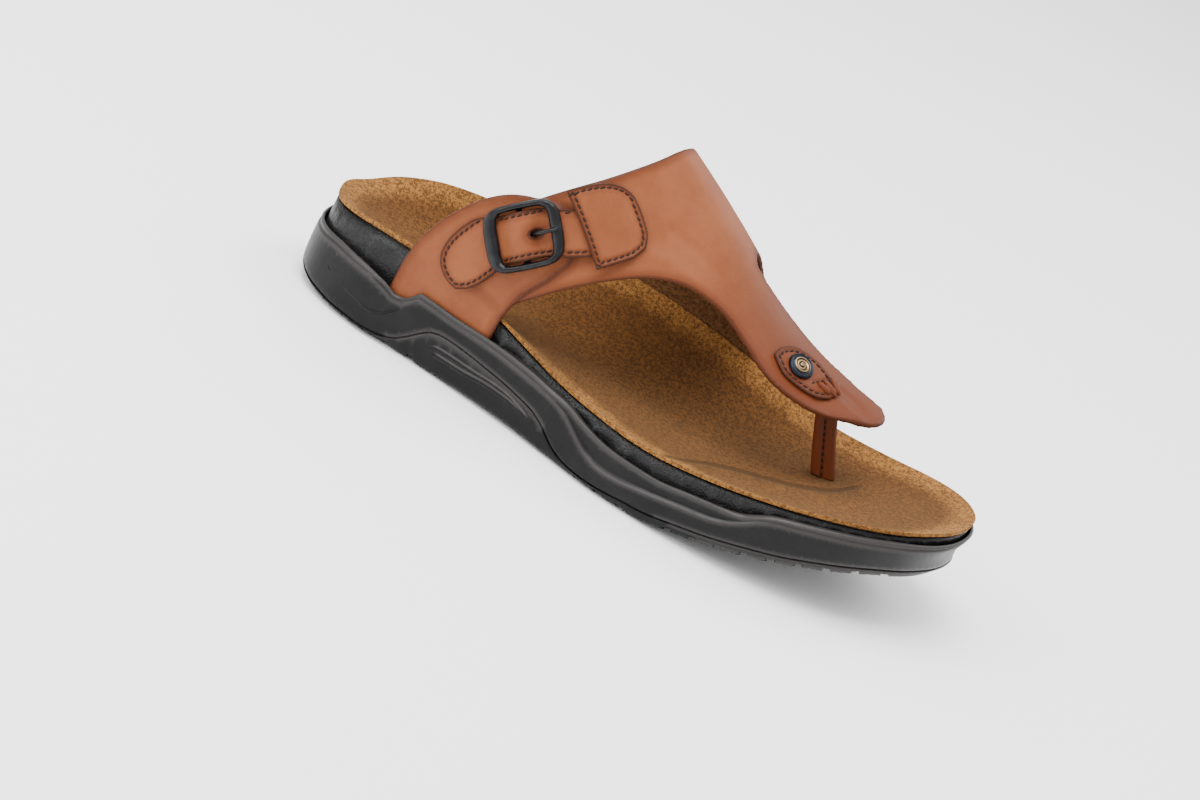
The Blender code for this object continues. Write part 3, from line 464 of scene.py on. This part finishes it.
def softPiece(node, name, material, voxel=None, rounds=3, creaseAngle=38, crease=1.0):
    bm = mergedCopy(node)
    layer = bm.edges.layers.float.new("crease_edge")
    for edge in bm.edges:
        if len(edge.link_faces) == 2 and edge.calc_face_angle(0) > math.radians(creaseAngle):
            edge[layer] = crease
    mesh = bpy.data.meshes.new(name)
    bm.to_mesh(mesh)
    bm.free()
    piece = linkPiece(name, mesh, material)
    fine = piece.modifiers.new("fine", "SUBSURF")
    fine.levels = fine.render_levels = 2
    if voxel:
        fill = piece.modifiers.new("fill", "REMESH")
        fill.mode = "VOXEL"
        fill.voxel_size = voxel
    mesh = bakedMesh(piece)
    softenMesh(mesh, rounds, material)
    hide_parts(node)
    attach(piece, "root")
    return piece


def treeOf(points):
    tree = kdtree.KDTree(max(len(points), 1))
    for k, point in enumerate(points):
        tree.insert(point, k)
    tree.balance()
    return tree


def borderTree(node, least=50, step=0.0005):
    bm = mergedCopy(node)
    points = []
    for edge in bm.edges:
        if len(edge.link_faces) == 2 and edge.calc_face_angle(0) > math.radians(least):
            a, b = edge.verts[0].co, edge.verts[1].co
            count = max(1, int((b - a).length / step))
            points.extend(a.lerp(b, k / count) for k in range(count))
    bm.free()
    return treeOf(points)


def faceRing(node, away):
    bm = mergedCopy(node)
    outer = set()
    for face in bm.faces:
        middle = face.calc_center_median()
        if face.normal.dot((middle - centreAt(middle)).normalized()) > away:
            outer.add(face)
    nextVert = {}
    for face in outer:
        for loop in face.loops:
            if sum(f in outer for f in loop.edge.link_faces) == 1:
                nextVert[loop.vert.index] = loop.link_loop_next.vert.index
    bm.verts.ensure_lookup_table()
    rings = []
    left = dict(nextVert)
    while left:
        start = next(iter(left))
        ring = [start]
        at = left.pop(start)
        while at != start and at in left:
            ring.append(at)
            at = left.pop(at)
        rings.append([bm.verts[k].co.copy() for k in ring])
    bm.free()
    return max(rings, key=len)


def evenPath(points, step, closed=True):
    loop = points + points[:1] if closed else points
    lengths = [0.0]
    for a, b in zip(loop, loop[1:]):
        lengths.append(lengths[-1] + (b - a).length)
    count = max(2, round(lengths[-1] / step))
    path = []
    k = 0
    for i in range(count if closed else count + 1):
        reach = lengths[-1] * i / count
        while k < len(lengths) - 2 and lengths[k + 1] < reach:
            k += 1
        share = (reach - lengths[k]) / max(lengths[k + 1] - lengths[k], 1e-9)
        path.append(loop[k].lerp(loop[k + 1], share))
    return path


def surfaceOf(piece):
    bm = bmesh.new()
    bm.from_mesh(piece.data)
    tree = BVHTree.FromBMesh(bm)
    bm.free()
    return tree


def insetPath(ring, inset, step=0.0006, rounds=6):
    path = evenPath(ring, step)
    moved = []
    for k, point in enumerate(path):
        along = (path[(k + 1) % len(path)] - path[k - 1]).normalized()
        out = (point - centreAt(point)).normalized()
        moved.append(point + out.cross(along).normalized() * inset)
    for _ in range(rounds):
        moved = [(moved[k - 1] + moved[k] * 2 + moved[(k + 1) % len(moved)]) / 4 for k in range(len(moved))]
    return moved


def landed(surface, point, reach=0.014, out=None):
    out = out or (point - centreAt(point)).normalized()
    hit, normal, _, _ = surface.ray_cast(point + out * reach, -out, 2 * reach)
    return (hit, normal) if hit else (None, None)


stitchSet = {"pitch": 0.0025, "length": 0.0021, "radius": 0.00040, "skew": 0.22, "sink": 0.00008}


def sewRow(name, path, surface, keep=lambda point: True, closed=True, out=None, size=stitchSet):
    bm = bmesh.new()
    seats = evenPath(path, size["pitch"], closed)
    for k, point in enumerate(seats):
        ahead = seats[(k + 1) % len(seats)] if closed else seats[min(k + 1, len(seats) - 1)]
        behind = seats[k - 1] if closed or k else seats[0]
        hit, normal = landed(surface, point, out=out)
        if hit is None or not keep(hit):
            continue
        along = (ahead - behind).normalized()
        along = (along - normal * along.dot(normal)).normalized()
        across = normal.cross(along)
        turned = along * math.cos(size["skew"]) + across * math.sin(size["skew"])
        across = normal.cross(turned)
        seat = hit + normal * (size["radius"] * 0.5 - size["sink"])
        place = axesMatrix(turned, across, normal, seat)
        place = place @ Matrix.Diagonal((size["length"] / 2, size["radius"], size["radius"], 1))
        place = place @ Matrix.Rotation(math.pi / 2, 4, "Y")
        bmesh.ops.create_uvsphere(bm, u_segments=6, v_segments=6, radius=1, matrix=place)
    mesh = bpy.data.meshes.new(name)
    bm.to_mesh(mesh)
    bm.free()
    mesh.shade_smooth()
    row = linkPiece(name, mesh, thread)
    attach(row, "root")
    return row


def setField(mesh, name, values):
    layer = mesh.attributes.get(name) or mesh.attributes.new(name, "FLOAT", "POINT")
    layer.data.foreach_set("value", values)


def smoothStep(value, low, high):
    t = min(max((value - low) / (high - low), 0), 1)
    return t * t * (3 - 2 * t)


wearSet = {"edge": (0.0006, 0.0013), "lining": (0.25, 0.6), "front": (0.125, 0.185),
           "border": (0.001, 0.0045), "seam": (0.0002, 0.0016), "share": 0.8}


def dressLeather(piece, border, seam=None, lined=False, painted=1.0, s=wearSet):
    mesh = piece.data
    edge, inside, wearAndShade, front = [], [], [], []
    for vert in mesh.vertices:
        near = border.find(vert.co)[2]
        seamNear = seam.find(vert.co)[2] if seam else 1.0
        out = (vert.co - centreAt(vert.co)).normalized()
        # Dark band at the sharp edges: edge dye, and painted shade at the flap's step
        edge.append(painted * (1 - smoothStep(near, *s["edge"])))
        inside.append(smoothStep(-vert.normal.dot(out), *s["lining"]) if lined else 0.0)
        front.append(smoothStep(vert.co.x - heelX, *s["front"]))
        # Darker near borders and seams: partly wear, partly painted shade in the seams and under the flap's
        # step
        edgeAndSeamBand = max(1 - smoothStep(near, *s["border"]), 1 - smoothStep(seamNear, *s["seam"]))
        wearAndShade.append(edgeAndSeamBand * s["share"])
    for name, values in (("edge", edge), ("inside", inside), ("wearAndShade", wearAndShade), ("front", front)):
        setField(mesh, name, values)


def pushOut(piece, amount):
    verts = piece.data.vertices
    moves = [vert.normal * amount(vert) for vert in verts]
    for vert, move in zip(verts, moves):
        vert.co += move


def pressSeam(piece, seam, depth=0.00028, width=0.0013):
    pushOut(piece, lambda vert: -depth * (1 - smoothStep(seam.find(vert.co)[2], 0, width)))


upperSet = {"voxel": 0.00065, "rounds": 3}
upper = softPiece("upper", "upperLeather", leather, upperSet["voxel"], upperSet["rounds"])

# Soft ridges, or troughs where the height is below 0: height, width and the own points they follow, in mm
creases = (
    (0.45, 3.2, ((199, -2, 62), (203, -2, 60), (208, -3, 59), (213, -3, 58))),
    (-0.40, 2.6, ((196, -9, 59), (201, -9, 58), (206, -9, 57))),
    (-0.35, 2.4, ((200, 4, 62), (205, 4, 61), (210, 3, 60))),
    (-0.35, 2.2, ((82, -37, 50), (78, -38, 44), (76, -40, 37))),
    (0.30, 2.4, ((72, -39, 50), (70, -41, 42), (70, -43, 35))),
    (-0.25, 2.4, ((48, -37, 56), (44, -37, 50), (42, -38, 42))),
    (-0.25, 3.0, ((120, -15, 88), (132, -12, 85), (142, -9, 81))),
    (0.22, 3.4, ((112, -24, 80), (124, -20, 79), (136, -17, 76))),
    (-0.22, 3.0, ((96, -28, 78), (97, -30, 70), (98, -33, 62))))


def creaseLeather(piece, lines):
    made = []
    for depth, width, points in lines:
        path = [soleShift + Vector(point) * mm for point in points]
        middle = path[len(path) // 2]
        reach = max((point - middle).length for point in path) + width * 2 * mm
        made.append((depth * mm, width * 0.7 * mm, treeOf(evenPath(path, 0.0004, False)), middle, reach))

    def swell(vert):
        lift = 0.0
        for depth, width, tree, middle, reach in made:
            if (vert.co - middle).length < reach:
                lift += depth * math.exp(-(tree.find(vert.co)[2] / width) ** 2)
        return lift

    pushOut(piece, swell)


dressLeather(upper, borderTree("upper"), lined=True, painted=0.65)
creaseLeather(upper, creases)
print("upper made", len(upper.data.polygons))

patchSet = {"voxel": 0.00036, "rounds": 4, "inset": 0.0019, "clear": 0.0009,
            "facing": {"end_patch": 0.5, "post_patch": 0.5, "buckle_strap": 0.25}}
pieces = {}
for node, name in (("end_patch", "endPatch"), ("post_patch", "postPatch"), ("buckle_strap", "buckleStrap")):
    piece = softPiece(node, name, leather, patchSet["voxel"], patchSet["rounds"])
    surface = surfaceOf(piece)
    seam = insetPath(faceRing(node, patchSet["facing"][node]), patchSet["inset"])
    landedSeam = [hit for hit in (landed(surface, point)[0] for point in seam) if hit]
    pressSeam(piece, treeOf(landedSeam))
    dressLeather(piece, borderTree(node), treeOf(landedSeam))
    pieces[node] = piece
    covers = [surfaceOf(nodes[k]) for k in ("buckle", "end_patch", "rivet") if k != node]
    fresh = surfaceOf(piece)

    def shown(hit, covers=covers):
        return all(cover.find_nearest(hit)[3] > patchSet["clear"] for cover in covers)

    sewRow(name + "Stitches", seam, fresh, shown)
    print(name, "made", len(piece.data.polygons))

# The post is one piece of leather folded back on itself and sewn beside its front edges

postSet = {"voxel": 0.00036, "foot": (0.2109, 0.0262), "head": (0.1962, 0.0585), "aside": 0.0075,
           "seam": 0.0004, "groove": 0.0006, "pinch": 0.22, "fin": 0.60, "split": 0.0010,
           "splitWidth": 0.0005, "splitBand": (0.0030, 0.0046), "wearAndShade": 0.45,
           "stitches": 12, "lowest": 0.001, "pitch": 0.0027, "reach": 0.002}


def postAxis(z, s):
    share = (z - s["foot"][1]) / (s["head"][1] - s["foot"][1])
    return heelX + s["foot"][0] + (s["head"][0] - s["foot"][0]) * share


def foldPost(piece, s):
    middle = soleShift.y + s["aside"]
    for vert in piece.data.vertices:
        u, v = vert.co.x - postAxis(vert.co.z, s), vert.co.y - middle
        thin = 1 - (1 - s["fin"]) * smoothStep(u, s["seam"] - s["groove"], s["seam"] + s["groove"])
        thin -= s["pinch"] * max(0, 1 - abs(u - s["seam"]) / s["groove"])
        split = s["split"] * max(0, 1 - abs(v) / s["splitWidth"]) * smoothStep(u, *s["splitBand"])
        vert.co.y += v * (thin - 1)
        vert.co.x -= split


def sewPost(piece, s):
    surface = surfaceOf(piece)
    for side, name in ((-1, "postStitchesOuter"), (1, "postStitchesInner")):
        seamLine = []
        for k in range(s["stitches"]):
            z = s["foot"][1] + s["lowest"] + k * s["pitch"]
            y = soleShift.y + s["aside"] + side * s["reach"]
            seamLine.append(Vector((postAxis(z, s) + s["seam"], y, z)))
        sewRow(name, seamLine, surface, closed=False, out=Vector((0, side, 0)))


post = softPiece("toe_post", "toePost", leather, postSet["voxel"])
foldPost(post, postSet)
dressLeather(post, borderTree("toe_post", 80))
# The whole post gets one even amount of the darkening near edges and seams
setField(post.data, "wearAndShade", [postSet["wearAndShade"]] * len(post.data.vertices))
sewPost(post, postSet)
print("post made")


# The end of the thong, gathered in folds at the front of the oval patch

thongSet = {
    "folds": ((0.1962, -0.0058, -0.15, 0.0066), (0.1980, -0.0034, -0.35, 0.0086),
              (0.1992, -0.0008, -0.58, 0.0080), (0.1990, 0.0020, -0.85, 0.0056)),
    "width": 0.0023, "height": 0.0015, "level": 0.066, "voxel": 0.0003, "wearAndShade": 0.45,
    "pressDepth": 0.0004, "pressWidth": 0.0014,
    "row": ((0.1918, -0.0068), (0.1930, -0.0043), (0.1942, -0.0019), (0.1952, 0.0004), (0.1960, 0.0026))}


def gatherThong(s):
    patch = pieces["post_patch"]
    patchSurface = surfaceOf(patch)
    row = [patchSurface.find_nearest(soleShift + Vector((x, y, s["level"])))[0] for x, y in s["row"]]
    pressSeam(patch, treeOf(evenPath(row, 0.0004, False)), s["pressDepth"], s["pressWidth"])
    patchSurface = surfaceOf(patch)
    sewRow("thongStitches", row, patchSurface, closed=False, out=Vector((0, 0, 1)))
    bm = bmesh.new()
    for x, y, turn, length in s["folds"]:
        hit, normal, _, _ = patchSurface.find_nearest(soleShift + Vector((x, y, s["level"])))
        along = Vector((math.cos(turn), math.sin(turn), 0))
        along = (along - normal * along.dot(normal)).normalized()
        across = normal.cross(along)
        place = axesMatrix(along, across, normal, hit)
        place = place @ Matrix.Diagonal((length / 2, s["width"] / 2, s["height"], 1))
        bmesh.ops.create_icosphere(bm, subdivisions=3, radius=1, matrix=place)
    mesh = bpy.data.meshes.new("thongEnd")
    bm.to_mesh(mesh)
    bm.free()
    folds = linkPiece("thongEnd", mesh, leather)
    fill = folds.modifiers.new("fill", "REMESH")
    fill.mode = "VOXEL"
    fill.voxel_size = s["voxel"]
    mesh = bakedMesh(folds)
    softenMesh(mesh, 3, leather)
    # The thong end gets one even amount of each darkening
    for name, value in (("edge", 0.0), ("inside", 0.0), ("wearAndShade", s["wearAndShade"]), ("front", 1.0)):
        setField(mesh, name, [value] * len(mesh.vertices))
    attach(folds, "root")


gatherThong(thongSet)
print("thong end made")

# Footbed, suede and sole

insole = softPiece("insole", "suedeInsole", suede, rounds=0)
footbed = softPiece("footbed", "footbedWrap", wrapLeather, rounds=0)
outsole = softPiece("outsole", "outsoleMoulding", rubber, rounds=0, creaseAngle=32, crease=0.8)

hollowSet = {"angle": 45, "band": (0.001, 0.016)}


# Painted shade in the dish: 0 at the insole's sharp rim edges, rising to 1 about 16 mm in
def dressSuede(piece, s):
    bm = mergedCopy("insole")
    points = []
    for edge in bm.edges:
        if len(edge.link_faces) == 2 and edge.calc_face_angle(0) > math.radians(s["angle"]):
            points.extend((edge.verts[0].co.copy(), edge.verts[1].co.copy()))
    bm.free()
    rim = treeOf(points)
    deep = [smoothStep(rim.find(vert.co)[2], *s["band"]) for vert in piece.data.vertices]
    setField(piece.data, "hollow", deep)


dressSuede(insole, hollowSet)

ridgeSet = {"lowest": 6 * mm, "angle": 24, "share": 0.5, "band": (0.0002, 0.0016)}


# Painted highlight: a mask that is strongest at the sole's sharp convex edges above the tread
def paintRidgeHighlights(piece, s):
    bm = mergedCopy("outsole")
    points = []
    for edge in bm.edges:
        convex = len(edge.link_faces) == 2 and edge.is_convex
        sharp = convex and edge.calc_face_angle(0) > math.radians(s["angle"])
        if sharp and edge.verts[0].co.z > s["lowest"]:
            points.extend(edge.verts[0].co.lerp(edge.verts[1].co, k / 8) for k in range(9))
    bm.free()
    ridges = treeOf(points)
    near = [ridges.find(vert.co)[2] for vert in piece.data.vertices]
    shine = [s["share"] * (1 - smoothStep(reach, *s["band"])) for reach in near]
    setField(piece.data, "ridge", shine)


paintRidgeHighlights(outsole, ridgeSet)

buckle = softPiece("buckle", "buckleFrame", blackMetal, rounds=0, creaseAngle=50, crease=0.45)
prong = softPiece("buckle_prong", "bucklePin", blackMetal, rounds=0, creaseAngle=60, crease=0.6)
rivetSet = {"voxel": 0.00013, "pitch": 0.00115, "height": 0.00014, "level": 0.7, "radius": 0.0036,
            "fade": 0.0004, "shine": (0.35, 0.75), "facing": 0.3}
rivet = softPiece("rivet", "rivetCap", oldMetal, rivetSet["voxel"], 2, 60, 0.5)


def coilRivet(piece, s):
    verts = piece.data.vertices
    middle = sum((v.co for v in verts), Vector()) / len(verts)
    axis = surfaceOf(upper).find_nearest(middle)[1]
    side = axis.orthogonal().normalized()
    over = axis.cross(side)
    coil, rim, lift = [], [], []
    for vert in verts:
        flat = vert.co - middle
        a, b = flat.dot(side), flat.dot(over)
        reach = math.hypot(a, b)
        wave = 0.5 + 0.5 * math.cos(2 * math.pi * reach / s["pitch"] + math.atan2(b, a))
        outside = smoothStep(reach, s["radius"] - s["fade"], s["radius"])
        coil.append(smoothStep(wave, *s["shine"]))
        rim.append(outside)
        onTop = vert.normal.dot(axis) > s["facing"]
        lift.append(s["height"] * (wave - s["level"]) * (1 - outside) if onTop else 0.0)
    pushOut(piece, lambda vert: lift[vert.index])
    setField(piece.data, "coil", coil)
    setField(piece.data, "rim", rim)


coilRivet(rivet, rivetSet)
print("sole and metal made")


# Floor and light

studioSet = {
    "floorSize": 6, "floorLevel": -0.0005, "floorColour": (0.95, 0.95, 0.95, 1), "sky": 1.5,
    "aim": (0, 0, 0.04),
    "lights": (("topLight", (-0.25, -0.25, 1.3), 0.9, 30), ("sideLight", (-0.9, -0.9, 0.8), 0.7, 14),
               ("rimLight", (0.7, 0.9, 1.0), 0.8, 12))}


def studio(s):
    bm = bmesh.new()
    bmesh.ops.create_grid(bm, x_segments=1, y_segments=1, size=s["floorSize"])
    bmesh.ops.translate(bm, verts=bm.verts, vec=(0, 0, s["floorLevel"]))
    mesh = bpy.data.meshes.new("floor")
    bm.to_mesh(mesh)
    bm.free()
    finish = newFinish(
        "paleFloor", Roughness=0.9, Specular_IOR_Level=0.1, Base_Color=s["floorColour"])[0]
    floor = linkPiece("floor", mesh, finish)
    world = bpy.data.worlds.new("studioSky")
    bpy.context.scene.world = world
    world.use_nodes = True
    sky = world.node_tree.nodes["Background"]
    sky.inputs["Color"].default_value = (1, 1, 1, 1)
    sky.inputs["Strength"].default_value = s["sky"]
    for name, place, size, power in s["lights"]:
        data = bpy.data.lights.new(name, "AREA")
        data.size = size
        data.energy = power
        lamp = bpy.data.objects.new(name, data)
        bpy.context.scene.collection.objects.link(lamp)
        aim = Vector(s["aim"]) - Vector(place)
        lamp.matrix_world = Matrix.Translation(place) @ aim.to_track_quat("-Z", "Y").to_matrix().to_4x4()


studio(studioSet)
print("studio made")
